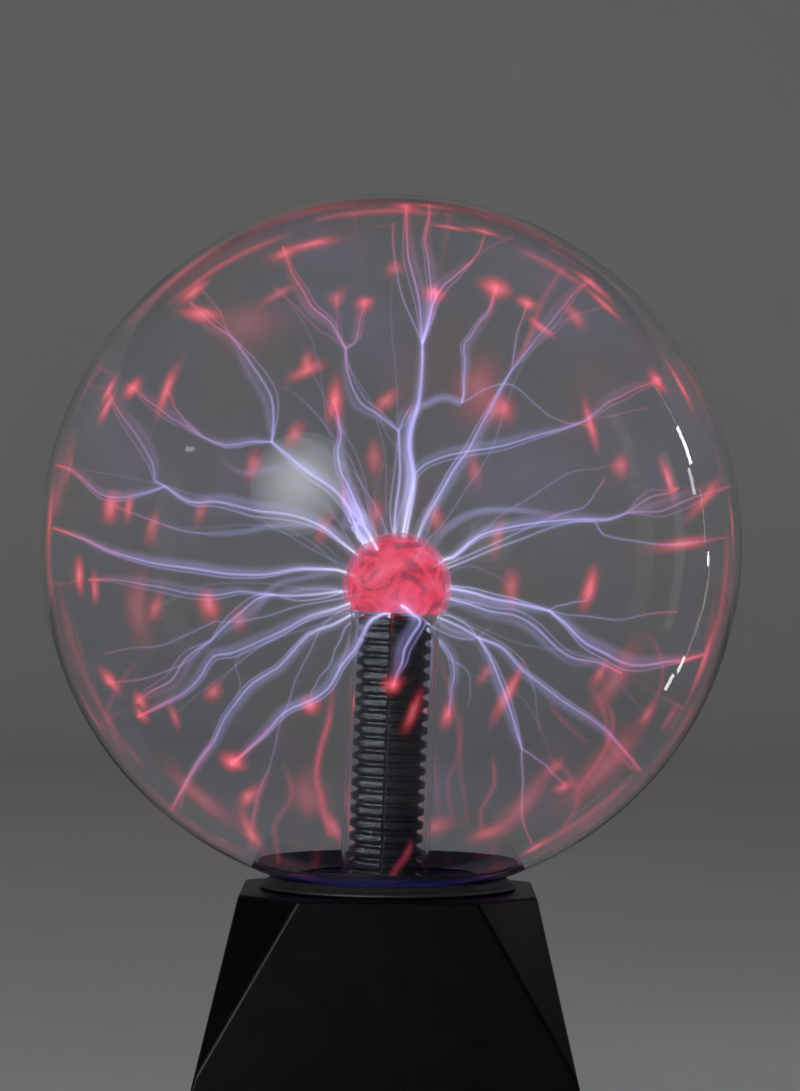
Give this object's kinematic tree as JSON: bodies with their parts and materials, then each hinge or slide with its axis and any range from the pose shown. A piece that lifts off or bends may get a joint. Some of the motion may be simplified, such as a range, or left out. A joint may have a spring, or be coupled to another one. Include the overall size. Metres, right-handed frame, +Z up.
{
  "type": "plasma ball",
  "caption": "Plasma ball lamp: a clear glass globe with a glowing electrode bulb on a ribbed glass stem, on a black faceted pyramid base with a rocker switch at the back.",
  "frame": {"origin": "on the surface that the feet stand on, under the middle of the globe", "axes": "+Z up through the globe; -Y to the front; +Y to the rear face with the switch and the power socket"},
  "size_m": [0.2, 0.2, 0.2819],
  "materials": {
    "black_plastic": "smooth moulded, softly glossy",
    "black_rubber": "satin elastomer",
    "black_nylon": "satin moulded",
    "black_coating": "opaque black coating seen through glass",
    "clear_glass": "clear blown glass",
    "steel": "zinc-plated",
    "steel_wool": "matted fine wire",
    "circuit_board": "lacquered laminate",
    "ferrite": "matt sintered",
    "copper": "enamelled winding wire",
    "potting": "cast resin over a winding",
    "aluminium": "extruded, plain",
    "red_wire": "insulated stranded wire",
    "black_wire": "insulated stranded wire",
    "white_silicone": "silicone insulation"
  },
  "bodies": {
    "root": {"base_housing": "black_plastic", "bottom_cover": "black_plastic", "globe_collar": "black_rubber", "neck_clamp_right": "black_nylon", "neck_clamp_left": "black_nylon", "cover_screw_1": "steel", "cover_screw_2": "steel", "cover_screw_3": "steel", "cover_screw_4": "steel", "rubber_foot_1": "black_rubber", "rubber_foot_2": "black_rubber", "rubber_foot_3": "black_rubber", "rubber_foot_4": "black_rubber", "clamp_screw_1": "steel", "clamp_screw_2": "steel", "clamp_screw_3": "steel", "clamp_screw_4": "steel", "globe_shell": "clear_glass", "blackout_band": "black_coating", "stem_tube": "clear_glass", "exhaust_tip": "clear_glass", "electrode_wool": "steel_wool", "corrugated_sleeve": "black_nylon", "circuit_board": "circuit_board", "flyback_core": "ferrite", "secondary_winding": "potting", "primary_winding": "copper", "high_voltage_lead": "white_silicone", "heat_sink": "aluminium", "power_transistor": "black_plastic", "reservoir_capacitor": "black_plastic", "timing_capacitor": "black_plastic", "coupling_capacitor": "black_plastic", "timer_chip": "black_plastic", "board_screw_1": "steel", "board_screw_2": "steel", "board_screw_3": "steel", "board_screw_4": "steel", "switch_body": "black_plastic", "dc_jack": "black_plastic", "jack_nut": "steel", "microphone": "aluminium", "supply_wire": "black_wire", "feed_wire": "red_wire", "load_wire": "red_wire", "microphone_wire": "black_wire"},
    "rocker": {"switch_rocker": "black_plastic"}
  },
  "joints": [
    {"name": "switch_tilt", "type": "hinge", "parent": "root", "child": "rocker", "pos_m": [-0.018, 0.05013, 0.04178], "axis": [-1, 0, 0], "range_deg": [0, 20]}
  ]
}
